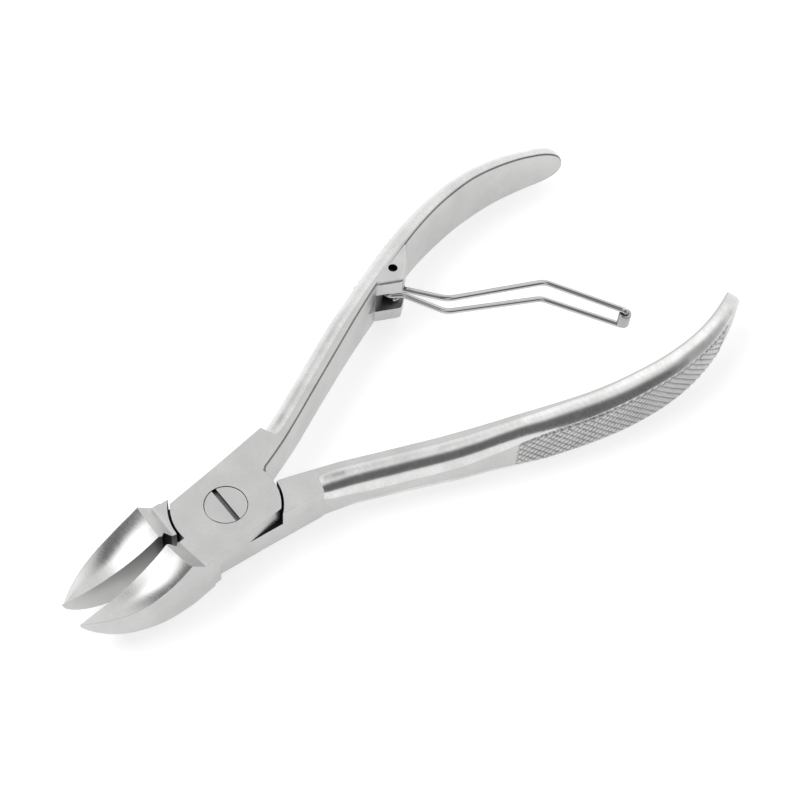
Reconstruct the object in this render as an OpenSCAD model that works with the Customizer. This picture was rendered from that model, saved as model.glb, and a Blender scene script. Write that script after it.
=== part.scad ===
// Lap-joint nippers with hollow-ground jaws, knurled lever handles and a trailing wire spring.
// The pivot axis is Z. The jaws point along -X, and the underside of the lap joint is at z = 0.
// Each lever is drawn closed, with its handle on the +Y side, and is then turned about the pivot.

/* [Lap joint] */
// Height of the lap joint, both plates together
joint_h = 8.4; // [7:0.1:10]
// Height at which the lower plate ends and the upper plate starts
split_z = 5.0; // [4:0.1:6]
// Radius of the round ends of each plate
plate_r = 9.8; // [9:0.1:10.5]
// Half the width of the joint across its flat sides
side_y = 7.05; // [6.5:0.05:7.5]
// Gap round each plate, between it and the other lever's shoulder
shoulder_gap = 0.4; // [0.2:0.05:0.6]
// Gap between the faces of the two plates
lap_gap = 0.06; // [0.02:0.01:0.15]
// Angle of each lever away from closed, as stored
rest_open = 4.1; // [3:0.1:6]

/* [Pivot screw] */
// Diameter of the flush screw head
head_d = 7.8; // [6:0.1:9]
// Thickness of the screw head
head_h = 1.8; // [1.2:0.1:2.4]
// Diameter of the plain shank
shank_d = 4.6; // [3.5:0.1:5.5]
// Width of the driver slot
slot_w = 0.9; // [0.6:0.1:1.2]
// Depth of the driver slot
slot_depth = 0.9; // [0.5:0.1:1.2]
// Direction of the driver slot, from the X axis
slot_turn = 86; // [0:1:180]
// Radial gap round the shank
shank_gap = 0.05; // [0.02:0.01:0.1]
// Radial gap round the head
head_gap = 0.08; // [0.05:0.01:0.1]

/* [Jaws] */
// Distance from the pivot axis to the jaw tips
tip_x = 33.3; // [30:0.1:36]
// Distance from the pivot axis to the ridge at the heel of the jaws
heel_x = 13.8; // [13:0.1:16]
// Height of the heel ridge above the top of the joint
ridge_h = 2.75; // [1.5:0.05:3.5]
// Radius of the hollow grind, seen from the side
hollow_r = 27.5; // [24:0.5:32]
// Distance from the pivot axis to the lowest point of the hollow
hollow_x = 28; // [26:0.5:30]
// Height of the hollow's outer rim above its level part beside the cutting edge
hollow_dip = 0.75; // [0.2:0.1:1.2]
// Radius of the outer side of the jaws, seen from above
jaw_r = 24; // [18:0.5:26]
// How far the underside of the jaws bulges below the joint
belly = 1.35; // [0.5:0.05:2]
// Gap that is left between the two cutting edges when closed
edge_gap = 0.1; // [0.06:0.02:0.3]

/* [Handles] */
// Width of a handle where it leaves the joint
handle_w = 5.0; // [4.5:0.1:6]
// Width of a handle in the grip
grip_w = 3.8; // [3:0.1:4.2]
// Height of the widest part of the grip above the top of the joint
grip_rise = 2.2; // [1:0.1:2.4]
// Width of the flat band on top of a handle
band_w = 1.5; // [1.2:0.1:2.2]
// Height of the rounded bevel between the joint and the grip
bevel_h = 2.9; // [2:0.1:3.5]

/* [Wire spring] */
// Diameter of the spring wire
wire_d = 1.2; // [0.8:0.1:1.2]
// Diameter of the spring's hinge pin
pin_d = 1.8; // [1.5:0.1:2]
// Length of the spring's hinge pin
pin_l = 9.6; // [8:0.1:11]
// Height of the pocket that holds the coils
pocket_h = 5.1; // [5.1:0.1:5.6]
// Diameter of the roller at the tip of the spring
roller_d = 2.5; // [2:0.1:3]
// Length of the roller
roller_l = 3.3; // [2.6:0.1:3.4]
// Radial gap between the roller and its axle
roller_gap = 0.07; // [0.03:0.01:0.1]

/* [Hidden] */
$fn = 64;
eps = 0.01;
mid_z = joint_h / 2;
shoulder_r = plate_r + shoulder_gap;

// A curve is a chain of arcs, and each row of it is a length and a turn in degrees.
// This gives the position and heading at a length s along a chain.
function total(list, i = 0) = i < len(list) ? list[i][0] + total(list, i + 1) : 0;
function along(arcs, s, p, a, i = 0) =
    let (arc_l = arcs[i][0],
         last = i == len(arcs) - 1,
         step = last ? s : min(s, arc_l),
         turn = arcs[i][1] * step / arc_l,
         half = turn / 2,
         chord = abs(half) < 0.001 ? step : step * sin(half) / (half * PI / 180),
         q = p + chord * [cos(a + half), sin(a + half)])
    last || s <= arc_l ? [q[0], q[1], a + turn] : along(arcs, s - arc_l, q, a + turn, i + 1);

// Inner edge of a handle
edge_start = [10.5, 1.0];
edge_heading = 14.5;
EDGE_ARCS = [[14, 6], [18, -0.6], [27, -5.2], [18, -13], [18, -21], [9.2, -10]];
handle_l = total(EDGE_ARCS);
function edge_at(s) = along(EDGE_ARCS, s, edge_start, edge_heading);

// Sizes of a handle's section at a length s along its inner edge: the width, half of the height, the flat
// band on top, and the drops of the upper and the lower bevel. The lower bevel is small below the grip.
end_l = 11;
function end_round(s, l) = s < handle_l - l ? 1 : sqrt(max(0.01, 1 - pow((s - handle_l + l) / l, 2)));
function bevel_ramp(s) = lookup(s, [[0, 0.06], [5.9, 0.06], [6.6, 0.6], [7.6, 0.92], [9, 1]]);
function width_at(s) =
    lookup(s, [[0, handle_w], [34, handle_w], [48, 4.3], [64, 4.0], [74, grip_w], [90, 3.5], [handle_l, 3.0]])
    * end_round(s, 3);
RISE_TABLE = [[0, -0.01], [7, -0.01], [12, 0.14], [30, 0.32], [46, 0.78], [60, 0.84], [72, 1], [82, 0.93],
              [90, 0.6], [97, 0.3]];
function rise_at(s) = grip_rise * lookup(s, RISE_TABLE);
function half_h(s) = (mid_z + rise_at(s)) * end_round(s, end_l);
function band_at(s) = let (ramp = bevel_ramp(s), w = width_at(s))
    w - ramp * (w - band_w * lookup(s, [[0, 1], [34, 1], [56, 0.5], [68, 0.33], [handle_l, 0.3]]));
BEVEL_TABLE = [[0, 1.2], [8, 1.2], [16, 1.45], [34, 1.45], [42, 1.25], [50, 0.85], [74, 0.7],
               [handle_l, 0.45]];
LOW_BEVEL_TABLE = [[0, 0.04], [7, 0.04], [9, 0.25], [14, 0.75], [20, 0.9], [40, 0.9], [52, 0.2],
                   [handle_l, 0.12]];
function bevel_at(s) = max(0.15, bevel_ramp(s) * bevel_h * end_round(s, end_l) * lookup(s, BEVEL_TABLE));
function low_bevel_at(s) = max(0.15, bevel_h * end_round(s, end_l) * lookup(s, LOW_BEVEL_TABLE));

// Sections of the handle: the inner face, the top band, the rounded bevels and the outer face
BEVEL_STEPS = 4;
function handle_section(s) =
    let (e = edge_at(s), n = [-sin(e[2]), cos(e[2])], w = width_at(s), b = band_at(s), h = half_h(s),
         low_b = w - (w - b) * min(1, low_bevel_at(s) / bevel_at(s) + 0.1),
         arc = [for (i = [0 : BEVEL_STEPS]) 90 * i / BEVEL_STEPS],
         upper = [for (t = arc) [b + (w - b) * sin(t), h - bevel_at(s) * (1 - cos(t))]],
         lower = [for (t = arc) [low_b + (w - low_b) * cos(t), low_bevel_at(s) * (1 - sin(t)) - h]])
    [for (q = concat([[0, h]], upper, lower, [[0, -h]]))
        [e[0] + n[0] * q[0], e[1] + n[1] * q[0], mid_z + q[1]]];

// A closed skin over a row of sections that have the same number of points
module loft(sections) {
    n = len(sections[0]);
    rows = len(sections);
    polyhedron(
        points = [for (section = sections) each section],
        faces = concat(
            [[for (i = [n - 1 : -1 : 0]) i]],
            [for (r = [0 : rows - 2], i = [0 : n - 1])
                [r * n + i, r * n + (i + 1) % n, (r + 1) * n + (i + 1) % n, (r + 1) * n + i]],
            [[for (i = [0 : n - 1]) (rows - 1) * n + i]]),
        convexity = 8);
}

HANDLE_STATIONS = concat(
    [0.2, 2, 4],
    [for (s = [6 : 1 : 12]) s],
    [for (s = [15 : 3.2 : handle_l - end_l - 1]) s],
    [for (i = [0 : 8]) handle_l - end_l * (1 - sin(90 * i / 8))]);

module handle() {
    loft([for (s = HANDLE_STATIONS) handle_section(s)]);
}

// Side view of the jaw: heights of the top and of the underside at a distance x from the pivot
hollow_low = joint_h + ridge_h - (hollow_r - sqrt(pow(hollow_r, 2) - pow(hollow_x - heel_x, 2)));
function hollow_z(x) = x > hollow_x ? hollow_low
    : hollow_low + hollow_r - sqrt(pow(hollow_r, 2) - pow(hollow_x - x, 2));
neck_x = 10.9;
function neck_z(x) = joint_h + ridge_h * max(0, x - neck_x) / (heel_x - neck_x);
nose_x = 20;
tip_h = 0.5;
function under_z(x) = x < nose_x ? -belly * lookup(x, [[9, 0.8], [15, 1], [nose_x, 1]])
    : let (reach = (x - nose_x) / (tip_x - nose_x))
      (hollow_low - tip_h + belly) * (1 - pow(max(0, 1 - reach * reach), 0.75)) - belly;

// Plan of the jaw: the outer side is straight and then curves in to the tip
ogive_x = tip_x - sqrt(pow(jaw_r, 2) - pow(jaw_r - side_y, 2));
function outer_y(x) = x < ogive_x ? side_y
    : max(0.35, side_y - jaw_r + sqrt(pow(jaw_r, 2) - pow(min(x, tip_x) - ogive_x, 2)));

// One section across a jaw, on the -Y side of the closed tool
inner_y = edge_gap / 2;
HOLLOW_STEPS = 6;
ROUND_STEPS = 4;
function hollow_rise(v) = pow(max(0, (v - 0.35) / 0.65), 2) - 0.4;
function jaw_section(x, top_z, dip) =
    let (y = outer_y(x), low = under_z(x), w = y - inner_y, share = min(1, w / side_y),
         rim_w = w - share * lookup(x, [[neck_x, 0], [heel_x, 0.25], [nose_x, 0.5]]),
         r = min(w * 0.55, (top_z - low) * 0.6) * lookup(x, [[heel_x, 0.3], [24, 1]]))
    concat(
        [for (i = [0 : HOLLOW_STEPS]) let (v = i / HOLLOW_STEPS)
            [-x, -inner_y - rim_w * v, top_z - 0.03 - 0.05 * sin(180 * v) + dip * share * hollow_rise(v)]],
        [for (i = [0 : ROUND_STEPS]) let (t = 90 * i / ROUND_STEPS)
            [-x, -y + r * (1 - cos(t)), low + r * (1 - sin(t))]],
        [[-x, -inner_y, low]]);

module jaw() {
    neck_rows = [for (x = [9.2, neck_x, 12, 13, heel_x])
        jaw_section(x, neck_z(x), hollow_dip * max(0, x - neck_x) / (heel_x - neck_x))];
    hollow_x_list = concat([15, 16, 17.5, 19, 20.5, 22], [for (x = [23.5 : 1.3 : 32.7]) x], [tip_x]);
    hollow_rows = [for (x = hollow_x_list) jaw_section(x, hollow_z(x), hollow_dip)];
    loft(concat(neck_rows, hollow_rows));
}

// Plan of the joint of one lever: a plate with round ends, and a neck to each side
relief_depth = 0.9;
neck_l = 7.15;
module joint_plan() {
    intersection() {
        circle(r = plate_r, $fn = 128);
        square([2 * plate_r + 1, 2 * side_y], center = true);
    }
    neck_end = edge_at(neck_l);
    out = [-sin(neck_end[2]), cos(neck_end[2])];
    polygon([[4, 2], [9.6, 0.78], [11, 1.5], [neck_end[0], neck_end[1]] + 0.3 * out,
             [neck_end[0], neck_end[1]] + (handle_w + 0.12) * out, [4, side_y]]);
    polygon([[-5, -side_y + 0.1], [-10.6, -side_y + 0.1], [-10.6, -inner_y - 0.3], [-5, -inner_y - 0.3]]);
}

// One lever before its screw hole: the plate lies between plate_z0 and plate_z1
module lever_blank(plate_z0, plate_z1) {
    cut_z0 = plate_z0 > 0 ? -5 : plate_z1;
    cut_z1 = plate_z0 > 0 ? plate_z0 : joint_h + 5;
    difference() {
        union() {
            linear_extrude(joint_h) joint_plan();
            handle();
            jaw();
        }
        translate([0, 0, cut_z0]) cylinder(r = shoulder_r, h = cut_z1 - cut_z0, $fn = 128);
        translate([-12.3, -inner_y, -1]) rotate(45)
            cube([2 * relief_depth / sqrt(2), 2 * relief_depth / sqrt(2), 3 * joint_h], center = true);
    }
}

// Place of the spring's hinge pin, and the boss round it, on the closed lever
pin_pos = [59.85, 16.8];
boss_r = 2.6;
boss_heading = 16;
function boss_at(q) = pin_pos + q[0] * [cos(boss_heading), sin(boss_heading)]
    + q[1] * [-sin(boss_heading), cos(boss_heading)];
BOSS_OUTLINE = [[-5.2, 1.2], [-4.7, 0.2], [-2.4, -2.8], [-1.3, -3.2], [1.1, -2.5], [2.9, -1.6],
                [6.9, 0.5], [6.9, 1.2]];
pocket_r = 2.35;
boss_top = mid_z + 1.7;
coil_r = pin_d / 2 + 0.06 + wire_d / 2;

module boss() {
    translate([0, 0, mid_z - boss_top]) {
        translate(pin_pos) cylinder(r = boss_r, h = 2 * boss_top);
        linear_extrude(2 * boss_top) polygon([for (q = BOSS_OUTLINE) boss_at(q)]);
    }
}

// The pocket is deepest round the pin, and its mouth narrows towards the joint
module boss_pocket() {
    low = pocket_h / 2 - 0.03;
    mouth = [[-8.5, 0], [-5.5, low], [5.5, low], [5.5, -low], [-5.5, -low]];
    translate([pin_pos[0], pin_pos[1], mid_z - pocket_h / 2]) cylinder(r = pocket_r, h = pocket_h);
    translate([pin_pos[0], pin_pos[1] + 0.7, mid_z]) rotate([90, 0, 15.5]) linear_extrude(6) polygon(mouth);
}

module upper_lever() {
    color([0.80, 0.80, 0.79]) rotate(rest_open) difference() {
        union() {
            lever_blank(split_z + lap_gap / 2, joint_h);
            boss();
        }
        boss_pocket();
        translate([pin_pos[0], pin_pos[1], -5]) cylinder(d = pin_d + 0.04, h = 20);
        translate([0, 0, split_z - 1]) cylinder(d = shank_d + 2 * shank_gap, h = 10);
        translate([0, 0, joint_h - head_h - 0.04]) cylinder(d = head_d + 2 * head_gap, h = 10);
    }
}

module lower_lever() {
    color([0.78, 0.78, 0.78]) rotate(-rest_open) mirror([0, 1, 0]) difference() {
        lever_blank(0, split_z - lap_gap / 2);
        translate([0, 0, -1]) cylinder(d = shank_d + 2 * shank_gap, h = 10);
    }
}

module pivot_screw() {
    color([0.72, 0.72, 0.71]) difference() {
        union() {
            cylinder(d = shank_d, h = joint_h - head_h + eps);
            translate([0, 0, joint_h - head_h]) cylinder(d = head_d, h = head_h);
        }
        rotate(slot_turn) translate([0, 0, joint_h]) cube([2 * head_d, slot_w, 2 * slot_depth], center = true);
    }
}

module spring_pin() {
    color([0.3, 0.3, 0.3]) rotate(rest_open)
        translate([pin_pos[0], pin_pos[1], mid_z - pin_l / 2]) cylinder(d = pin_d, h = pin_l);
}

// Spring wire as stored: it starts on the floor side of the pocket, turns once round the pin and runs
// along a bent leg to the roller. The other half of the wire is its mirror image about mid height.
pin_rest = [pin_pos[0] * cos(rest_open) - pin_pos[1] * sin(rest_open),
            pin_pos[0] * sin(rest_open) + pin_pos[1] * cos(rest_open)];
leg_heading = -31.2;
LEG_ARCS = [[1.6, 0], [1.2, -30], [7.2, 0], [2.4, 33], [17.6, 0], [2, -35.8], [16, 0]];
LEG_STATIONS = [0, 0.8, 1.6, 2, 2.4, 2.8, 6, 10, 10.8, 11.6, 12.4, 21, 30, 30.7, 31.4, 32, 40, 48];
leg_start = pin_rest + coil_r * [cos(leg_heading - 90), sin(leg_heading - 90)];
leg_l = total(LEG_ARCS);
function leg_at(s) = along(LEG_ARCS, s, leg_start, leg_heading);
function leg_z(s) = lookup(s, [[0, 0.62], [11.2, 2.0], [31, 2.6], [leg_l, 2.3]]);
axle = leg_at(leg_l);
axle_z = leg_z(leg_l);

WIRE_SIDES = 12;
function wire_section(x, y, z, heading) =
    [for (i = [0 : WIRE_SIDES - 1]) let (u = 360 * i / WIRE_SIDES, r = wire_d / 2)
        [x + r * cos(u) * sin(heading), y - r * cos(u) * cos(heading), z + r * sin(u)]];

COIL_STEP = 20;
function coil_z(t) = 0.62 + (wire_d + 0.03) * min(1, max(0, t - 60) / 240);
coil_rows = [for (t = [360 : -COIL_STEP : COIL_STEP])
    let (a = leg_heading - 90 - t)
    wire_section(pin_rest[0] + coil_r * cos(a), pin_rest[1] + coil_r * sin(a), coil_z(t), a + 90)];
leg_rows = [for (s = LEG_STATIONS) let (q = leg_at(s)) wire_section(q[0], q[1], leg_z(s), q[2])];

module half_wire() {
    loft(concat(coil_rows, leg_rows));
    translate([axle[0], axle[1], axle_z]) sphere(d = wire_d + 0.05, $fn = 24);
}

module spring_wire() {
    color([0.75, 0.75, 0.76]) translate([0, 0, mid_z]) union() {
        half_wire();
        mirror([0, 0, 1]) half_wire();
        translate([axle[0], axle[1], -axle_z]) cylinder(d = wire_d, h = 2 * axle_z);
    }
}

module spring_roller() {
    color([0.55, 0.55, 0.55]) translate([axle[0], axle[1], mid_z - roller_l / 2]) difference() {
        cylinder(d = roller_d, h = roller_l);
        translate([0, 0, -1]) cylinder(d = wire_d + 2 * roller_gap, h = roller_l + 2);
    }
}

upper_lever();
lower_lever();
pivot_screw();
spring_wire();
spring_pin();
spring_roller();
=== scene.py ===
import math

import bmesh
import bpy
import numpy as np
from mathutils import Matrix, Vector


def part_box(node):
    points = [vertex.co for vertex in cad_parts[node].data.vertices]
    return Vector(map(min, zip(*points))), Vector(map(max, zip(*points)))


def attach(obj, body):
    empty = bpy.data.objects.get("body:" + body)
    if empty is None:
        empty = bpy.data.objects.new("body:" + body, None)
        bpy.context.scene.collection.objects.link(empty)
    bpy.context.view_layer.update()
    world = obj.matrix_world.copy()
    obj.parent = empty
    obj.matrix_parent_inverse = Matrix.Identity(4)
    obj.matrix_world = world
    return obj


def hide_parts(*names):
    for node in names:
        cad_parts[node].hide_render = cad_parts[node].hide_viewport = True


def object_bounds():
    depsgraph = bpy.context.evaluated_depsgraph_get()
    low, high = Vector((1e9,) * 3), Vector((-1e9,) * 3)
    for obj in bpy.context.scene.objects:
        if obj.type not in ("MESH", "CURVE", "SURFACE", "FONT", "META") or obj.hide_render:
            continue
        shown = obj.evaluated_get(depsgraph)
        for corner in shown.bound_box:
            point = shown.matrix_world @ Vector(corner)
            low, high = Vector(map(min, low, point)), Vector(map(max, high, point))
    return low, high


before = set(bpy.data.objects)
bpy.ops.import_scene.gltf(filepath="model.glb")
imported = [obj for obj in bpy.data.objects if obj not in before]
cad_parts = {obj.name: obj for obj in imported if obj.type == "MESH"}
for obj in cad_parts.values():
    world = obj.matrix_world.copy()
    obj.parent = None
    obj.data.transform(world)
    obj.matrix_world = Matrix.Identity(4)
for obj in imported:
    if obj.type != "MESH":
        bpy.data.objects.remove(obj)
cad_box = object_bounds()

# Lap-joint nippers. Shapes are built in millimetres and scaled to metres at the end of each piece.
# Each lever is drawn closed, with its handle on the +Y side. The lower one is then mirrored, and both
# are turned about the pivot to the pose at rest.
MM = 0.001


def box_mm(node):
    low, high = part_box(node)
    return np.array(low) / MM, np.array(high) / MM


SCREW_LOW, SCREW_HIGH = box_mm("pivot_screw")
PIN_LOW, PIN_HIGH = box_mm("spring_pin")
ROLLER_LOW, ROLLER_HIGH = box_mm("spring_roller")
PIN = (PIN_LOW + PIN_HIGH) / 2
PIN_R = (PIN_HIGH[0] - PIN_LOW[0]) / 2
ROLLER = (ROLLER_LOW + ROLLER_HIGH) / 2

# Lap joint
JOINT_H = SCREW_HIGH[2]
MID_Z = JOINT_H / 2
SPLIT_Z = 5.0
LAP_GAP = 0.06
PLATE_R = 9.8
SHOULDER_R = PLATE_R + 0.48
PLATE_STEPS = 256
REST_OPEN = 4.1
# Heights below and above the whole part, for cuts that go right through
BELOW = -9
ABOVE = 19

# Pivot screw
HEAD_D = SCREW_HIGH[0] - SCREW_LOW[0]
HEAD_H = 1.8
SHANK_D = 4.6
SLOT_W = 0.9
SLOT_DEPTH = 0.9
SLOT_TURN = 86

# Jaws
TIP_X = 33.3
HEEL_X = 13.8
NECK_X = 10.9
RIDGE_H = 2.75
HOLLOW_R = 27.5
HOLLOW_X = 28.0
HOLLOW_DIP = 0.75
HOLLOW_DISH = 0.05
HOLLOW_DROP = 0.03
JAW_R = 24.0
JAW_SIDE_Y = 7.05
BELLY = 1.35
NOSE_X = 20.0
TIP_H = 0.5
INNER_Y = 0.05
ROOT_X = 9.2
RELIEF_X = -12.3
RELIEF_HALF = 0.9

# Handles: the inner edge is a chain of arcs, each a length and a turn in degrees
EDGE_START = (10.5, 1.0)
EDGE_HEADING = 14.5
EDGE_ARCS = ((14, 6), (18, -0.6), (27, -5.2), (18, -13), (18, -21), (9.2, -10))
HANDLE_L = sum(arc[0] for arc in EDGE_ARCS)
NECK_L = 7.15
HANDLE_W = 5.0
GRIP_W = 3.8
GRIP_RISE = 2.2
BAND_W = 1.5
BEVEL_H = 2.9
END_L = 11.0
END_WIDTH_L = 3

# Knurl on the outer side of each grip
KNURL_START = 45.0
KNURL_END = 96.0
KNURL_PITCH = 1.6
KNURL_DEPTH = 0.3
KNURL_GROOVE = 0.55
# How wide each of the two sets of grooves is drawn; a smaller number is a wider groove
KNURL_SPREADS = (1.15, 0.72)
KNURL_CROWN = 0.06
KNURL_STEP = 0.13

# Wire spring
WIRE_D = 1.2
COIL_R = PIN_R + 0.06 + WIRE_D / 2
COIL_Z = 0.62
LEG_HEADING = -31.2
LEG_ARCS = ((1.6, 0), (1.2, -30), (7.2, 0), (2.4, 33), (17.6, 0), (2, -35.8), (16, 0))
LEG_L = sum(arc[0] for arc in LEG_ARCS)
BOSS_HALF_H = MID_Z + 1.76
POCKET_R = 2.35
POCKET_H = 5.1

# Strength of the room's light, and the least that its darker zones leave of it
ROOM_LIGHT = 1.05
DARKEST_LIGHT = 0.16

# Material slots of the levers
SATIN, POLISH, HOLLOW, KNURL, CUT, GROOVE, EDGE, POCKET = range(8)


# ---------------------------------------------------------------- mesh helpers
def new_object(name, verts, faces, slots=None):
    mesh = bpy.data.meshes.new(name)
    mesh.from_pydata([tuple(v) for v in verts], [], faces)
    work = bmesh.new()
    work.from_mesh(mesh)
    bmesh.ops.recalc_face_normals(work, faces=work.faces)
    work.to_mesh(mesh)
    work.free()
    for material in LEVER_MATERIALS:
        mesh.materials.append(material)
    if slots is not None:
        mesh.polygons.foreach_set("material_index", slots)
    piece = bpy.data.objects.new(name, mesh)
    bpy.context.scene.collection.objects.link(piece)
    return piece


def loft(name, rows, slots=None, cap_slot=SATIN):
    """A closed skin over rows of points; slots gives one material index for each point of a row."""
    count = len(rows[0])
    verts = np.vstack(rows)
    faces = []
    index = []
    for r in range(len(rows) - 1):
        for i in range(count):
            j = (i + 1) % count
            faces.append((r * count + i, r * count + j, (r + 1) * count + j, (r + 1) * count + i))
            index.append(slots[i] if slots else cap_slot)
    faces.append(tuple(range(count - 1, -1, -1)))
    faces.append(tuple((len(rows) - 1) * count + i for i in range(count)))
    index += [cap_slot, cap_slot]
    return new_object(name, verts, faces, index)


def prism(name, outline, z0, z1, slot=SATIN):
    rows = [np.array([(x, y, z) for x, y in outline]) for z in (z0, z1)]
    return loft(name, rows, [slot] * len(outline), slot)


def circle(center, radius, count=128):
    angles = np.linspace(0, 2 * math.pi, count, endpoint=False)
    return [(center[0] + radius * math.cos(a), center[1] + radius * math.sin(a)) for a in angles]


def boolean(piece, other, operation):
    modifier = piece.modifiers.new("cut", "BOOLEAN")
    modifier.operation = operation
    modifier.solver = "EXACT"
    modifier.material_mode = "INDEX"
    modifier.object = other
    depsgraph = bpy.context.evaluated_depsgraph_get()
    mesh = bpy.data.meshes.new_from_object(piece.evaluated_get(depsgraph))
    piece.modifiers.clear()
    piece.data = mesh
    bpy.data.objects.remove(other)


def finish_mesh(piece, sharp=28, knurl_flat=False):
    """Scales the piece to metres, cleans it and sets which edges look sharp."""
    mesh = piece.data
    work = bmesh.new()
    work.from_mesh(mesh)
    weld = 0.0005
    bmesh.ops.remove_doubles(work, verts=work.verts, dist=weld)
    bmesh.ops.dissolve_degenerate(work, edges=work.edges, dist=weld)
    work.to_mesh(mesh)
    work.free()
    mesh.transform(Matrix.Scale(MM, 4))
    smooth = [not (knurl_flat and p.material_index == KNURL) for p in mesh.polygons]
    mesh.polygons.foreach_set("use_smooth", smooth)
    mesh.set_sharp_from_angle(angle=math.radians(sharp))
    mesh.update()


def lathe(name, profile, center, count=96):
    """A closed turned piece about a vertical axis; profile is a closed list of radius and height."""
    rows = []
    for k in range(count):
        a = 2 * math.pi * k / count
        rows.append([(center[0] + r * math.cos(a), center[1] + r * math.sin(a), z) for r, z in profile])
    verts = []
    faces = []
    lookup = {}
    for k, row in enumerate(rows):
        for i, point in enumerate(row):
            on_axis = profile[i][0] == 0
            key = (0 if on_axis else k, i)
            if key not in lookup:
                lookup[key] = len(verts)
                verts.append(point)
    size = len(profile)
    for k in range(count):
        n = (k + 1) % count
        for i in range(size):
            j = (i + 1) % size
            corners = []
            for key_k, key_i in ((k, i), (n, i), (n, j), (k, j)):
                corner = lookup[(0 if profile[key_i][0] == 0 else key_k, key_i)]
                if corner not in corners:
                    corners.append(corner)
            if len(corners) > 2:
                faces.append(tuple(corners))
    return new_object(name, verts, faces, [0] * len(faces))


def lookup_value(x, table):
    return float(np.interp(x, [row[0] for row in table], [row[1] for row in table]))


def along(arcs, s, point, heading):
    """Position and heading at a length s along a chain of arcs."""
    x, y = point
    for number, (length, turn) in enumerate(arcs):
        step = s if number == len(arcs) - 1 else min(s, length)
        bend = turn * step / length
        half = math.radians(bend / 2)
        chord = step if abs(half) < 1e-6 else step * math.sin(half) / half
        x += chord * math.cos(math.radians(heading) + half)
        y += chord * math.sin(math.radians(heading) + half)
        heading += bend
        s -= step
        if s <= 0:
            break
    return x, y, heading


def edge_at(s):
    """Position and heading at a length s along the inner edge of a handle."""
    return along(EDGE_ARCS, s, EDGE_START, EDGE_HEADING)


# ---------------------------------------------------------------- materials
def node_at(tree, kind, **values):
    node = tree.nodes.new(kind)
    for name, value in values.items():
        setattr(node, name, value)
    return node


def noise_range(tree, noise, low, high):
    """Spreads a noise's useful middle part over the range from low to high."""
    spread = node_at(tree, "ShaderNodeMapRange")
    spread.inputs["From Min"].default_value = 0.3
    spread.inputs["From Max"].default_value = 0.7
    spread.inputs["To Min"].default_value = low
    spread.inputs["To Max"].default_value = high
    tree.links.new(noise.outputs["Fac"], spread.inputs["Value"])
    return spread


def steel(name, color, rough, grain, grain_size=0.12, bump=0.03, wear=0.12, mottling=0.05):
    """Worked steel: grain is how many times longer its scratches are along X, Y and Z."""
    material = bpy.data.materials.new(name)
    material.use_nodes = True
    tree = material.node_tree
    link = tree.links.new
    shader = tree.nodes["Principled BSDF"]
    shader.inputs["Metallic"].default_value = 1.0
    place = node_at(tree, "ShaderNodeTexCoord")
    mapping = node_at(tree, "ShaderNodeMapping")
    mapping.inputs["Scale"].default_value = [1 / (MM * grain_size * g) for g in grain]
    link(place.outputs["Object"], mapping.inputs["Vector"])
    scratches = node_at(tree, "ShaderNodeTexNoise")
    scratches.inputs["Scale"].default_value = 1.0
    scratches.inputs["Detail"].default_value = 4.0
    scratches.inputs["Roughness"].default_value = 0.65
    link(mapping.outputs["Vector"], scratches.inputs["Vector"])
    clouds = node_at(tree, "ShaderNodeTexNoise")
    clouds.inputs["Scale"].default_value = 1 / (MM * 6)
    clouds.inputs["Detail"].default_value = 3.0
    link(place.outputs["Object"], clouds.inputs["Vector"])
    # Worn edges: where the rounded normal leaves the face's own normal
    rounded = node_at(tree, "ShaderNodeBevel", samples=8)
    rounded.inputs["Radius"].default_value = wear * MM
    geometry = node_at(tree, "ShaderNodeNewGeometry")
    dot = node_at(tree, "ShaderNodeVectorMath", operation="DOT_PRODUCT")
    link(rounded.outputs["Normal"], dot.inputs[0])
    link(geometry.outputs["Normal"], dot.inputs[1])
    edge = node_at(tree, "ShaderNodeMapRange")
    edge.inputs["From Min"].default_value = 0.98
    edge.inputs["From Max"].default_value = 0.75
    link(dot.outputs["Value"], edge.inputs["Value"])
    # Colour: slow clouds, fine scratches and brighter edges
    tone = noise_range(tree, clouds, 1 - mottling, 1 + mottling)
    fine = noise_range(tree, scratches, 1 - mottling, 1 + mottling)
    product = node_at(tree, "ShaderNodeMath", operation="MULTIPLY")
    link(tone.outputs["Result"], product.inputs[0])
    link(fine.outputs["Result"], product.inputs[1])
    lift = node_at(tree, "ShaderNodeMath", operation="MULTIPLY_ADD")
    lift.inputs[1].default_value = 0.07
    link(edge.outputs["Result"], lift.inputs[0])
    link(product.outputs["Value"], lift.inputs[2])
    tint = node_at(tree, "ShaderNodeVectorMath", operation="SCALE")
    tint.inputs[0].default_value = color
    link(lift.outputs["Value"], tint.inputs["Scale"])
    link(tint.outputs["Vector"], shader.inputs["Base Color"])
    # Roughness follows the scratches and drops where the edges are rubbed bright
    matte = noise_range(tree, scratches, 0.85 * rough, 1.2 * rough)
    rubbed = node_at(tree, "ShaderNodeMath", operation="MULTIPLY_ADD")
    rubbed.inputs[1].default_value = -0.3 * rough
    link(edge.outputs["Result"], rubbed.inputs[0])
    link(matte.outputs["Result"], rubbed.inputs[2])
    link(rubbed.outputs["Value"], shader.inputs["Roughness"])
    relief = node_at(tree, "ShaderNodeBump")
    relief.inputs["Strength"].default_value = bump
    relief.inputs["Distance"].default_value = 0.05 * MM
    link(scratches.outputs["Fac"], relief.inputs["Height"])
    link(rounded.outputs["Normal"], relief.inputs["Normal"])
    link(relief.outputs["Normal"], shader.inputs["Normal"])
    return material


def even_gray(value, warmth=0.0):
    return (value + warmth, value, value - warmth)


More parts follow.
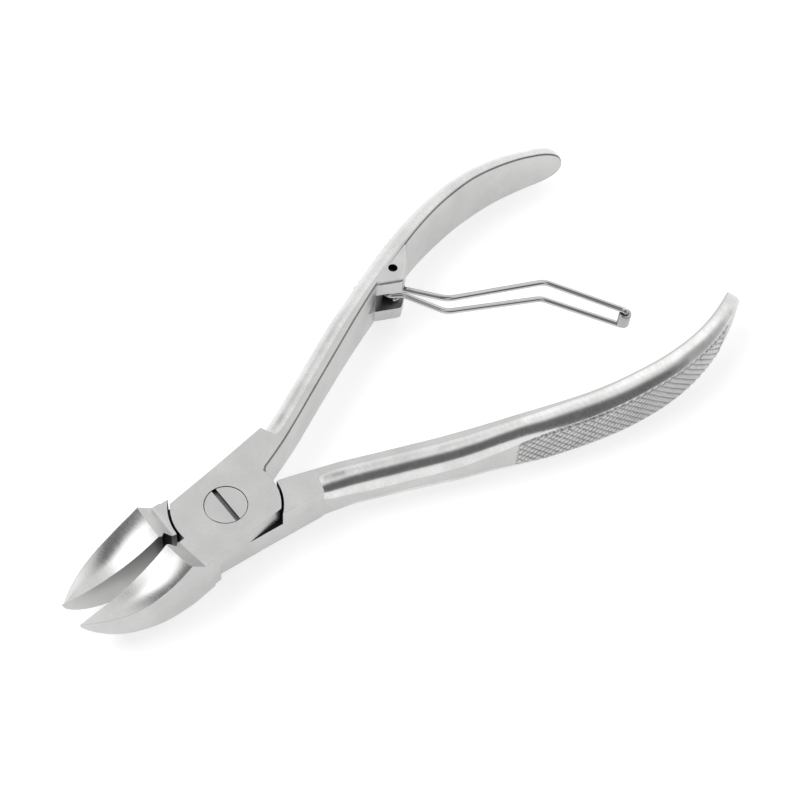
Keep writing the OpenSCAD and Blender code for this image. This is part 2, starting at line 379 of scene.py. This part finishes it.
LEVER_MATERIALS = [
    steel("satin_steel", even_gray(0.56, 0.003), 0.34, (4, 1, 1), 0.3, bump=0.22, wear=0.1, mottling=0.055),
    steel("polished_steel", even_gray(0.68, 0.003), 0.2, (1, 8, 4), 0.16, bump=0.14, mottling=0.1),
    steel("ground_steel", even_gray(0.6, 0.003), 0.24, (1, 8, 1), 0.2, bump=0.12, mottling=0.06),
    steel("knurled_steel", even_gray(0.56, 0.003), 0.3, (1, 1, 1), 0.2, bump=0.1, wear=0.05, mottling=0.08),
    # CUT: nearly black, painted shade in the cut recesses, notches and bores
    steel("cut_face_painted_shade", even_gray(0.03), 0.55, (1, 1, 6), bump=0.1, mottling=0.12),
    # GROOVE: darker grey on the knurl's groove faces, painted shade in the grooves
    steel("groove_painted_shade", even_gray(0.33), 0.4, (1, 1, 1), bump=0.1, wear=0.05, mottling=0.1),
    # EDGE: dark grey along the upper grip's inner top edge, a painted shade line
    steel("inner_edge_painted_shade", even_gray(0.22), 0.3, (4, 4, 1), bump=0.05, wear=0.05, mottling=0.15),
    # POCKET: dark grey in the coil pocket, painted shade in the cavity
    steel("pocket_painted_shade", even_gray(0.3), 0.45, (1, 1, 6), bump=0.1, mottling=0.12),
]


# ---------------------------------------------------------------- levers
def end_round(s, length):
    over = (s - HANDLE_L + length) / length
    return 1.0 if over <= 0 else max(0.002, 1 - over**2.5) ** 0.4


def bevel_ramp(s):
    return lookup_value(s, ((0, 0.04), (6.1, 0.04), (6.6, 0.62), (7.2, 0.84), (8, 0.95), (9.5, 1)))


def width_at(s):
    table = ((0, HANDLE_W), (34, HANDLE_W), (48, 4.3), (64, 4.0), (74, GRIP_W), (90, 3.5), (HANDLE_L, 3.0))
    return lookup_value(s, table) * end_round(s, END_WIDTH_L)


def half_h(s):
    table = ((0, -0.01), (7, -0.01), (12, 0.14), (30, 0.32), (46, 0.78))
    table += ((60, 0.84), (72, 1), (82, 0.93), (90, 0.6), (97, 0.3))
    return (MID_Z + GRIP_RISE * lookup_value(s, table)) * end_round(s, END_L)


def band_at(s):
    share = lookup_value(s, ((0, 1), (34, 1), (56, 0.5), (68, 0.33), (HANDLE_L, 0.3)))
    return width_at(s) - bevel_ramp(s) * (width_at(s) - BAND_W * share)


def bevel_at(s):
    table = ((0, 1.2), (8, 1.2), (16, 1.45), (34, 1.45), (42, 1.25), (50, 0.85), (74, 0.7), (HANDLE_L, 0.45))
    return max(0.12, bevel_ramp(s) * BEVEL_H * end_round(s, END_L) * lookup_value(s, table))


def low_bevel_at(s):
    table = ((0, 0.04), (7, 0.04), (9, 0.25), (14, 0.75), (20, 0.9), (40, 0.9), (52, 0.2), (HANDLE_L, 0.12))
    return max(0.12, BEVEL_H * end_round(s, END_L) * lookup_value(s, table))


# Points round one section of a handle
FILLET_STEPS = 4
BAND_STEPS = 4
BEVEL_STEPS = 18
SIDE_STEPS = 64
LOW_BEVEL_STEPS = 8
INNER_STEPS = 5


def knurl_ridge(s, z):
    """0 on the lines of the two crossing sets of grooves, and 1 in the middle of each diamond."""
    ridges = []
    for place, spread in zip(((s + z) / KNURL_PITCH, (s - z) / KNURL_PITCH), KNURL_SPREADS):
        ridges.append(spread * (1 - abs(2 * (place - math.floor(place)) - 1)))
    return min(1, min(ridges))


def knurl_height(s, z, v):
    """How far the outer side stands proud at a length s, a height z and a share v of its height."""
    ends = min(1, max(0, (s - KNURL_START) / 0.4)) * min(1, max(0, (KNURL_END - s) / 2.0))
    border = min(1, max(0, (min(v, 1 - v) - 0.04) / 0.025))
    ridge = knurl_ridge(s, z)
    return ends * border * (KNURL_DEPTH * min(1, ridge / KNURL_GROOVE) + KNURL_CROWN * ridge)


def handle_row(s):
    x, y, heading = edge_at(s)
    nx, ny = -math.sin(math.radians(heading)), math.cos(math.radians(heading))
    w, b, h = width_at(s), band_at(s), half_h(s)
    high, low = bevel_at(s), low_bevel_at(s)
    fillet = min(0.3, 0.2 * w, 0.3 * h)
    b = max(b, fillet + 0.05)
    low_b = w - (w - b) * min(1, low / high + 0.1)
    points = []
    for t in np.linspace(0, math.pi / 2, FILLET_STEPS):
        points.append((fillet * (1 - math.cos(t)), h - fillet * (1 - math.sin(t))))
    for t in np.linspace(0, 1, BAND_STEPS + 1)[1:-1]:
        points.append((fillet + t * (b - fillet), h))
    last = math.radians(lookup_value(s, ((0, 90), (38, 90), (56, 46))))
    for t in np.linspace(0, last, BEVEL_STEPS + 1):
        across, down = math.sin(t) / math.sin(last), (1 - math.cos(t)) / (1 - math.cos(last))
        points.append((b + (w - b) * across, h - high * down))
    for v in np.linspace(0, 1, SIDE_STEPS + 1)[1:-1]:
        z = (h - high) * (1 - v) + (low - h) * v
        points.append((w + knurl_height(s, z, v), z))
    for t in np.linspace(0, math.pi / 2, LOW_BEVEL_STEPS + 1):
        points.append((low_b + (w - low_b) * math.cos(t), low * (1 - math.sin(t)) - h))
    for t in np.linspace(1, 0, BAND_STEPS + 1)[1:-1]:
        points.append((fillet + t * (low_b - fillet), -h))
    for t in np.linspace(math.pi / 2, 0, FILLET_STEPS):
        points.append((fillet * (1 - math.cos(t)), fillet * (1 - math.sin(t)) - h))
    for t in np.linspace(-1, 1, INNER_STEPS + 1)[1:-1]:
        points.append((0, t * (h - fillet)))
    return np.array([(x + nx * q[0], y + ny * q[0], MID_Z + q[1]) for q in points])


def handle(name, edge_slot):
    stations = list(np.arange(0.2, 12, 0.3)) + list(np.arange(12, KNURL_START, 0.6))
    stations += list(np.arange(KNURL_START, HANDLE_L - END_L, KNURL_STEP))
    stations += list(HANDLE_L - END_L * (1 - np.sin(np.linspace(0, math.pi / 2, 40))))
    front = FILLET_STEPS + BAND_STEPS - 1
    slots = [edge_slot] * (FILLET_STEPS - 1) + [SATIN] * BAND_STEPS + [POLISH] * BEVEL_STEPS
    slots += [KNURL] * SIDE_STEPS + [POLISH] * LOW_BEVEL_STEPS
    rows = [handle_row(s) for s in stations]
    slots += [SATIN] * (len(rows[0]) - len(slots))
    piece = loft(name, rows, slots)
    count = len(rows[0])
    polygons = piece.data.polygons
    # Side faces in the knurl's grooves get GROOVE, a darker grey that is painted shade; outside the knurl
    # they are plain satin
    for r, s in enumerate(stations[:-1]):
        plain = s < KNURL_START - 0.1 or s > KNURL_END
        for i in range(front + BEVEL_STEPS, front + BEVEL_STEPS + SIDE_STEPS):
            z = (rows[r][i][2] + rows[r][i + 1][2]) / 2 - MID_Z
            if plain:
                polygons[r * count + i].material_index = SATIN
            elif knurl_ridge(s + KNURL_STEP / 2, z) < 0.5 * KNURL_GROOVE:
                polygons[r * count + i].material_index = GROOVE
    return piece


HOLLOW_LOW = JOINT_H + RIDGE_H - (HOLLOW_R - math.sqrt(HOLLOW_R**2 - (HOLLOW_X - HEEL_X) ** 2))


def jaw_top(x):
    if x < HEEL_X:
        return JOINT_H + RIDGE_H * max(0, x - NECK_X) / (HEEL_X - NECK_X)
    if x > HOLLOW_X:
        return HOLLOW_LOW
    return HOLLOW_LOW + HOLLOW_R - math.sqrt(HOLLOW_R**2 - (HOLLOW_X - x) ** 2)


def jaw_under(x):
    if x < NOSE_X:
        return -BELLY * lookup_value(x, ((9, 0.8), (15, 1), (NOSE_X, 1)))
    reach = min(1, (x - NOSE_X) / (TIP_X - NOSE_X))
    return (HOLLOW_LOW - TIP_H + BELLY) * (1 - (1 - reach**2) ** 0.75) - BELLY


OGIVE_X = TIP_X - math.sqrt(JAW_R**2 - (JAW_R - JAW_SIDE_Y) ** 2)


def jaw_side(x):
    if x < OGIVE_X:
        return JAW_SIDE_Y
    return max(0.35, JAW_SIDE_Y - JAW_R + math.sqrt(JAW_R**2 - (min(x, TIP_X) - OGIVE_X) ** 2))


HOLLOW_STEPS = 20
ROUND_STEPS = 14


def jaw_row(x, dip):
    """One section across a jaw. Its top is almost level near the cutting edge and rises to the outer rim."""
    y, low, top = jaw_side(x), jaw_under(x), jaw_top(x)
    w = y - INNER_Y
    share = min(1, w / JAW_SIDE_Y)
    rim_w = w - share * lookup_value(x, ((NECK_X, 0), (HEEL_X, 0.25), (20, 0.5)))
    corner = min(w * 0.55, (top - low) * 0.6) * lookup_value(x, ((HEEL_X, 0.3), (24, 1)))
    points = []
    for v in np.linspace(0, 1, HOLLOW_STEPS + 1):
        rise = max(0, (v - 0.35) / 0.65) ** 2 - 0.4
        dish = HOLLOW_DISH * math.sin(math.pi * v)
        points.append((-x, -INNER_Y - rim_w * v, top - HOLLOW_DROP - dish + dip * share * rise))
    rim_z = points[HOLLOW_STEPS][2]
    for v in np.linspace(0, 1, 6)[1:-1]:
        points.append((-x, -INNER_Y - rim_w - (w - rim_w) * v, rim_z * (1 - v) + (low + corner) * v))
    for t in np.linspace(0, math.pi / 2, ROUND_STEPS):
        points.append((-x, -y + corner * (1 - math.cos(t)), low + corner * (1 - math.sin(t))))
    for v in np.linspace(0, 1, 5)[1:]:
        points.append((-x, (-y + corner) * (1 - v) - INNER_Y * v, low))
    for v in np.linspace(0, 1, 6)[1:-1]:
        points.append((-x, -INNER_Y, low * (1 - v) + points[0][2] * v))
    return np.array(points)


def jaw(name):
    places = np.linspace(ROOT_X, HEEL_X, 24)
    neck = [jaw_row(x, HOLLOW_DIP * max(0, x - NECK_X) / (HEEL_X - NECK_X)) for x in places]
    places = np.concatenate([np.arange(HEEL_X + 0.05, TIP_X - 1, 0.3), np.linspace(TIP_X - 1, TIP_X, 8)])
    hollow = [jaw_row(x, HOLLOW_DIP) for x in places]
    piece = loft(name, neck + hollow)
    count = len(neck[0])
    for r in range(len(neck), len(neck) + len(hollow) - 1):
        for i in range(HOLLOW_STEPS):
            piece.data.polygons[r * count + i].material_index = HOLLOW
    return piece


def side_y(x):
    return lookup_value(x, ((-10, 6.85), (0, 7.15), (6, 7.35), (16, 7.65)))


def joint_pieces(name):
    """The round plate, the neck of the handle and the root of the jaw, one over the whole height."""
    plate = []
    for x, y in circle((0, 0), PLATE_R, PLATE_STEPS):
        limit = side_y(x)
        plate.append((x, max(-limit, min(limit, y))))
    x, y, heading = edge_at(NECK_L)
    out = np.array((-math.sin(math.radians(heading)), math.cos(math.radians(heading))))
    end = np.array((x, y))
    neck = [(4, 2), (9.6, 0.78), (11, 1.5), end + 0.3 * out, end + (HANDLE_W + 0.1) * out, (4, side_y(4))]
    root = [(-5, -side_y(-5) + 0.05), (-10.6, -side_y(-10) + 0.05), (-10.6, -0.35), (-5, -0.35)]
    piece = prism(name, plate, 0, JOINT_H)
    boolean(piece, prism("neck", neck, 0, JOINT_H), "UNION")
    boolean(piece, prism("root", root, 0, JOINT_H), "UNION")
    boolean(piece, jaw("jaw"), "UNION")
    return piece


def cut_joint(piece, low, high):
    """Cuts the space of the other lever's plate and the relief behind the cutting edges."""
    # The cut faces get CUT, the nearly black material that is painted shade in these recesses
    boolean(piece, prism("shoulder", circle((0, 0), SHOULDER_R, PLATE_STEPS), low, high, CUT), "DIFFERENCE")
    relief = [(RELIEF_X - RELIEF_HALF, -INNER_Y), (RELIEF_X, -INNER_Y - RELIEF_HALF)]
    relief += [(RELIEF_X + RELIEF_HALF, -INNER_Y), (RELIEF_X, RELIEF_HALF)]
    boolean(piece, prism("relief", relief, BELOW, ABOVE, CUT), "DIFFERENCE")
    boolean(piece, prism("bore", circle((0, 0), SHANK_D / 2 + 0.05), BELOW, ABOVE, CUT), "DIFFERENCE")


def convex_outline(points):
    """The convex outline of a set of points, anticlockwise."""
    points = sorted(map(tuple, points))
    outline = []
    for part in (points, points[::-1]):
        chain = []
        for p in part:
            while len(chain) > 1:
                (ax, ay), (bx, by) = chain[-2], chain[-1]
                if (bx - ax) * (p[1] - ay) - (by - ay) * (p[0] - ax) > 1e-9:
                    break
                chain.pop()
            chain.append(p)
        outline += chain[:-1]
    return outline


def boss(pin):
    """The boss for the spring pin, which grows out of the handle's inner side and has rounded edges."""
    edge = 0.7
    nearest = min(np.arange(40, 60, 0.1), key=lambda s: math.dist(pin, edge_at(s)[:2]))
    heading = math.radians(edge_at(nearest)[2])
    ahead = np.array((math.cos(heading), math.sin(heading)))
    out = np.array((-ahead[1], ahead[0]))
    # Discs that the outline is drawn round: how far from the pin, along and across the handle, and a radius
    discs = ((-1.4, -2.3, 0.9), (0.7, -1.6, 1.0), (2.5, -0.8, 1.0))
    discs += ((-4.3, 1.0, 1.0), (6.6, 1.3, 0.9), (6.4, 1.7, 0.8))
    middle = np.array(pin) + 0.6 * out
    angles = np.linspace(0, 2 * math.pi, 160, endpoint=False)
    rays = np.column_stack([np.cos(angles), np.sin(angles)])
    rows = []
    for level in np.concatenate([np.linspace(-90, 0, 9), np.linspace(0, 90, 9)[1:] + 0.001]):
        turn = math.radians(level)
        inset = edge * (1 - math.cos(turn))
        z = MID_Z + (BOSS_HALF_H - edge) * (1 if level > 0 else -1) + edge * math.sin(turn)
        outline = []
        for forward, outward, radius in discs:
            center = np.array(pin) + forward * ahead + outward * out
            outline += circle(center, max(0.05, radius - inset), 90)
        hull = np.array(convex_outline(outline)) - middle
        # The outline's reach along each ray, so that every level has the same points
        after = np.roll(hull, -1, axis=0) - hull
        cross = hull[:, 0] * after[:, 1] - hull[:, 1] * after[:, 0]
        reach = []
        for ray in rays:
            slope = ray[0] * after[:, 1] - ray[1] * after[:, 0]
            distance = np.where(slope > 1e-9, cross / np.where(slope > 1e-9, slope, 1), np.inf)
            reach.append(distance.min())
        rows.append(np.column_stack([middle + rays * np.array(reach)[:, None], np.full(len(rays), z)]))
    return loft("boss", rows, [SATIN] * len(rays))


def pocket(pin):
    """The pocket of the coils, deepest round the pin, with a mouth that narrows towards the joint."""
    low = POCKET_H / 2 - 0.03
    mouth = [(-8.5, 0), (-5.5, low), (5.5, low), (5.5, -low), (-5.5, -low)]
    turn = Matrix.Translation((pin[0], pin[1] + 0.7, MID_Z)) @ Matrix.Rotation(math.radians(15.5), 4, "Z")
    rows = [np.array([turn @ Vector((x, -depth, z)) for x, z in mouth]) for depth in (0, 6)]
    # The pocket's faces get POCKET, a dark grey that is painted shade in the cavity
    piece = prism("pocket", circle(pin, POCKET_R, 96), MID_Z - POCKET_H / 2, MID_Z + POCKET_H / 2, POCKET)
    boolean(piece, loft("mouth", rows, [POCKET] * 5, POCKET), "UNION")
    return piece


def turn_to_rest(piece, mirrored):
    turn = Matrix.Rotation(math.radians(-REST_OPEN if mirrored else REST_OPEN), 4, "Z")
    if mirrored:
        turn = turn @ Matrix.Scale(-1, 4, (0, 1, 0))
    piece.data.transform(turn)
    if mirrored:
        piece.data.flip_normals()


def upper_lever():
    pin = Matrix.Rotation(math.radians(-REST_OPEN), 2) @ Vector((PIN[0], PIN[1]))
    # The inner top edge of this grip gets EDGE, a dark grey that is painted shade along that edge
    grip = handle("grip", EDGE)
    boolean(grip, boss(pin), "UNION")
    boolean(grip, pocket(pin), "DIFFERENCE")
    hole = circle(pin, PIN_R + 0.04, 64)
    boolean(grip, prism("pin_hole", hole, BELOW, ABOVE, CUT), "DIFFERENCE")
    piece = joint_pieces("upper_lever_body")
    cut_joint(piece, BELOW, SPLIT_Z + LAP_GAP / 2)
    head = circle((0, 0), HEAD_D / 2 + 0.035)
    boolean(piece, prism("head", head, JOINT_H - HEAD_H - 0.04, ABOVE, CUT), "DIFFERENCE")
    boolean(piece, grip, "UNION")
    turn_to_rest(piece, False)
    finish_mesh(piece, knurl_flat=True)
    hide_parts("upper_lever")
    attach(piece, "upper_lever")


def lower_lever():
    piece = joint_pieces("lower_lever_body")
    cut_joint(piece, SPLIT_Z - LAP_GAP / 2, ABOVE)
    boolean(piece, handle("grip", SATIN), "UNION")
    turn_to_rest(piece, True)
    finish_mesh(piece, knurl_flat=True)
    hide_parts("lower_lever")
    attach(piece, "lower_lever")


# ---------------------------------------------------------------- screw, pin, wire and roller
def one_material(piece, material, cut_material=None):
    """Gives a piece one material, and its cut faces a second one."""
    index = [1 if cut_material and p.material_index == CUT else 0 for p in piece.data.polygons]
    piece.data.materials.clear()
    piece.data.materials.append(material)
    if cut_material:
        piece.data.materials.append(cut_material)
    piece.data.polygons.foreach_set("material_index", index)


def pivot_screw():
    chamfer = 0.18
    r, shank = HEAD_D / 2, SHANK_D / 2
    neck_z = JOINT_H - HEAD_H
    profile = [(0, 0.1), (shank - 0.3, 0.1), (shank, 0.4), (shank, neck_z)]
    profile += [(r - 0.1, neck_z), (r, neck_z + 0.1)]
    profile += [(r, JOINT_H - chamfer), (r - 0.4 * chamfer, JOINT_H - 0.3 * chamfer), (r - chamfer, JOINT_H)]
    profile += [(0, JOINT_H)]
    piece = lathe("pivot_screw_body", profile, (0, 0), 160)
    half = SLOT_W / 2
    turn = Matrix.Rotation(math.radians(SLOT_TURN), 2)
    corners = [turn @ Vector(c) for c in ((-r - 2, -half), (r + 2, -half), (r + 2, half), (-r - 2, half))]
    slot = prism("slot", [(c.x, c.y) for c in corners], JOINT_H - SLOT_DEPTH, JOINT_H + 3, CUT)
    boolean(piece, slot, "DIFFERENCE")
    # Dark grey in the screw slot: painted shade in the slot
    slot_painted_shade = steel("slot_painted_shade", even_gray(0.26), 0.45, (1, 1, 6), bump=0.1, mottling=0.15)
    one_material(piece, steel("screw_steel", even_gray(0.55, 0.003), 0.33, (1, 9, 1), 0.2), slot_painted_shade)
    finish_mesh(piece, sharp=18)
    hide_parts("pivot_screw")
    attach(piece, "lower_lever")


def spring_pin():
    low, high = PIN_LOW[2], PIN_HIGH[2]
    profile = [(0, low), (PIN_R - 0.3, low), (PIN_R - 0.08, low + 0.1), (PIN_R, low + 0.35)]
    profile += [(PIN_R, high - 0.35), (PIN_R - 0.08, high - 0.1), (PIN_R - 0.3, high), (0, high)]
    piece = lathe("spring_pin_body", profile, PIN, 64)
    # Nearly black pin: painted shade, so that the pin hole looks dark
    one_material(piece, steel("pin_steel", even_gray(0.12), 0.4, (1, 1, 5), bump=0.08, mottling=0.1))
    finish_mesh(piece)
    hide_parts("spring_pin")
    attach(piece, "upper_lever")


def spring_roller():
    r = (ROLLER_HIGH[0] - ROLLER_LOW[0]) / 2
    hole = WIRE_D / 2 + 0.07
    low, high = ROLLER_LOW[2], ROLLER_HIGH[2]
    edge = 0.18
    profile = [(hole, low + 0.08), (hole + 0.08, low), (r - edge, low), (r - 0.3 * edge, low + 0.3 * edge)]
    profile += [(r, low + edge), (r, high - edge), (r - 0.3 * edge, high - 0.3 * edge), (r - edge, high)]
    profile += [(hole + 0.08, high), (hole, high - 0.08)]
    piece = lathe("spring_roller_body", profile, ROLLER, 96)
    one_material(piece, steel("roller_steel", even_gray(0.4), 0.16, (1, 1, 8), bump=0.04))
    finish_mesh(piece, sharp=50)
    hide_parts("spring_roller")
    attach(piece, "roller")


def leg_height(s):
    table = ((0, COIL_Z), (11.2, 2.0), (31, 2.6), (LEG_L, 2.3))
    return float(np.mean([lookup_value(s + d, table) for d in (-1, -0.5, 0, 0.5, 1)]))


def half_path():
    """Middle line of the upper half of the wire, from its coil's inner end to just above mid height."""
    start_turn = math.radians(LEG_HEADING - 90)
    points = []
    for t in np.arange(360, 0, -7.5):
        rise = (WIRE_D + 0.03) * min(1, max(0, t - 60) / 240)
        angle = start_turn - math.radians(t)
        points.append((PIN[0] + COIL_R * math.cos(angle), PIN[1] + COIL_R * math.sin(angle), COIL_Z + rise))
    start = (PIN[0] + COIL_R * math.cos(start_turn), PIN[1] + COIL_R * math.sin(start_turn))
    corner = 0.75
    for s in np.arange(0, LEG_L - corner, 0.4):
        x, y = along(LEG_ARCS, s, start, LEG_HEADING)[:2]
        points.append((x, y, leg_height(s)))
    x, y, heading = along(LEG_ARCS, LEG_L - corner, start, LEG_HEADING)
    ahead = np.array((math.cos(math.radians(heading)), math.sin(math.radians(heading))))
    top = leg_height(LEG_L - corner)
    for t in np.linspace(0, math.pi / 2, 9):
        q = np.array((x, y)) + ahead * corner * math.sin(t)
        points.append((q[0], q[1], top - corner * (1 - math.cos(t))))
    for z in (1.0, 0.5):
        points.append((points[-1][0], points[-1][1], z))
    return points


def spring_wire():
    sides = 20
    upper = half_path()
    lower = [(x, y, -z) for x, y, z in upper[::-1]]
    path = np.array(upper + [(upper[-1][0], upper[-1][1], 0.0)] + lower) + (0, 0, MID_Z)
    tangents = np.gradient(path, axis=0)
    tangents /= np.linalg.norm(tangents, axis=1)[:, None]
    side = np.cross(tangents[0], (0, 0, 1.0))
    rows = []
    for point, tangent in zip(path, tangents):
        side = side - tangent * np.dot(side, tangent)
        side /= np.linalg.norm(side)
        up = np.cross(side, tangent)
        row = []
        for k in range(sides):
            a = 2 * math.pi * k / sides
            row.append(point + WIRE_D / 2 * (math.cos(a) * side + math.sin(a) * up))
        rows.append(np.array(row))
    for end in (0, -1):
        rows[end] = path[end] + (rows[end] - path[end]) * 0.7
    piece = loft("spring_wire_body", rows, [0] * sides, 0)
    bright = steel("spring_steel", even_gray(0.55), 0.12, (1, 1, 1), bump=0.02, wear=0.04, mottling=0.04)
    one_material(piece, bright)
    finish_mesh(piece, sharp=50)
    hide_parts("spring_wire")
    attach(piece, "spring_arm")


# ---------------------------------------------------------------- stage

def floor():
    half = 3000.0
    thickness = 5
    gap = 0.02
    z = cad_box[0][2] / MM - gap
    piece = prism("floor", [(-half, -half), (half, -half), (half, half), (-half, half)], z - thickness, z)
    material = bpy.data.materials.new("pale_floor")
    material.use_nodes = True
    shader = material.node_tree.nodes["Principled BSDF"]
    shader.inputs["Base Color"].default_value = (0.45, 0.45, 0.45, 1)
    shader.inputs["Emission Color"].default_value = (1, 1, 1, 1)
    shader.inputs["Emission Strength"].default_value = 0.66
    shader.inputs["Roughness"].default_value = 0.9
    shader.inputs["Specular IOR Level"].default_value = 0.1
    one_material(piece, material)
    piece.data.transform(Matrix.Scale(MM, 4))


def studio_light():
    """A bright room with two brighter and six darker soft zones, and one large soft lamp."""
    world = bpy.data.worlds.new("studio")
    world.use_nodes = True
    bpy.context.scene.world = world
    tree = world.node_tree
    link = tree.links.new
    background = tree.nodes["Background"]
    coordinates = node_at(tree, "ShaderNodeTexCoord")
    # Each zone: its direction, its outer and inner angles in degrees, and what it adds to the room's light
    zones = (
        ((-0.38, 0.49, 0.79), 21, 13, 1.8),
        ((0.62, -0.06, 0.78), 26, 12, 0.35),
        ((-0.1, -0.92, 0.32), 44, 18, -0.95),
        ((0.66, -0.7, 0.28), 32, 12, -0.55),
        ((-0.16, 0.16, 0.97), 22, 8, -0.45),
        ((-0.35, 0.04, 0.93), 30, 12, -0.85),
        ((-0.4, 0.8, 0.42), 38, 12, -0.85),
        ((-0.92, -0.15, 0.35), 36, 12, -0.8),
    )
    total = None
    for direction, outer, inner, added in zones:
        toward = node_at(tree, "ShaderNodeVectorMath", operation="DOT_PRODUCT")
        toward.inputs[1].default_value = Vector(direction).normalized()
        link(coordinates.outputs["Generated"], toward.inputs[0])
        zone = node_at(tree, "ShaderNodeMapRange", interpolation_type="SMOOTHSTEP")
        zone.inputs["From Min"].default_value = math.cos(math.radians(outer))
        zone.inputs["From Max"].default_value = math.cos(math.radians(inner))
        zone.inputs["To Max"].default_value = added
        link(toward.outputs["Value"], zone.inputs["Value"])
        level = node_at(tree, "ShaderNodeMath", operation="ADD")
        level.inputs[1].default_value = ROOM_LIGHT
        link(zone.outputs["Result"], level.inputs[0])
        if total is not None:
            link(total, level.inputs[1])
        total = level.outputs["Value"]
    darkest = node_at(tree, "ShaderNodeMath", operation="MAXIMUM")
    darkest.inputs[1].default_value = DARKEST_LIGHT
    link(total, darkest.inputs[0])
    link(darkest.outputs["Value"], background.inputs["Strength"])
    background.inputs["Color"].default_value = (1, 1, 1, 1)
    lamp = bpy.data.lights.new("soft_lamp", "AREA")
    lamp.shape = "DISK"
    lamp.size = 0.7
    lamp.energy = 4.5
    holder = bpy.data.objects.new("soft_lamp", lamp)
    lamp_at = Vector((-0.45, 0.4, 0.9))
    holder.visible_glossy = False
    holder.location = lamp_at
    holder.rotation_euler = (-lamp_at).to_track_quat("-Z", "Y").to_euler()
    bpy.context.scene.collection.objects.link(holder)
    bpy.context.scene.view_settings.view_transform = "Standard"


def camera():
    position = Vector((-96.5, -130.7, 263.5)) * MM
    target = Vector((39.1, -2.7, 8.4)) * MM
    roll = math.radians(5.68)
    ahead = (target - position).normalized()
    level = ahead.cross(Vector((0, 0, 1))).normalized()
    upright = level.cross(ahead)
    right = math.cos(roll) * level + math.sin(roll) * upright
    up = math.cos(roll) * upright - math.sin(roll) * level
    placing = Matrix((right, up, -ahead)).transposed().to_4x4()
    placing.translation = position
    data = bpy.data.cameras.new("camera")
    data.lens = 76.5
    data.sensor_width = 36
    data.clip_start = 0.01
    data.clip_end = 20
    holder = bpy.data.objects.new("camera", data)
    holder.matrix_world = placing
    bpy.context.scene.collection.objects.link(holder)
    bpy.context.scene.camera = holder


camera()
studio_light()
floor()
upper_lever()
lower_lever()
pivot_screw()
spring_pin()
spring_roller()
spring_wire()
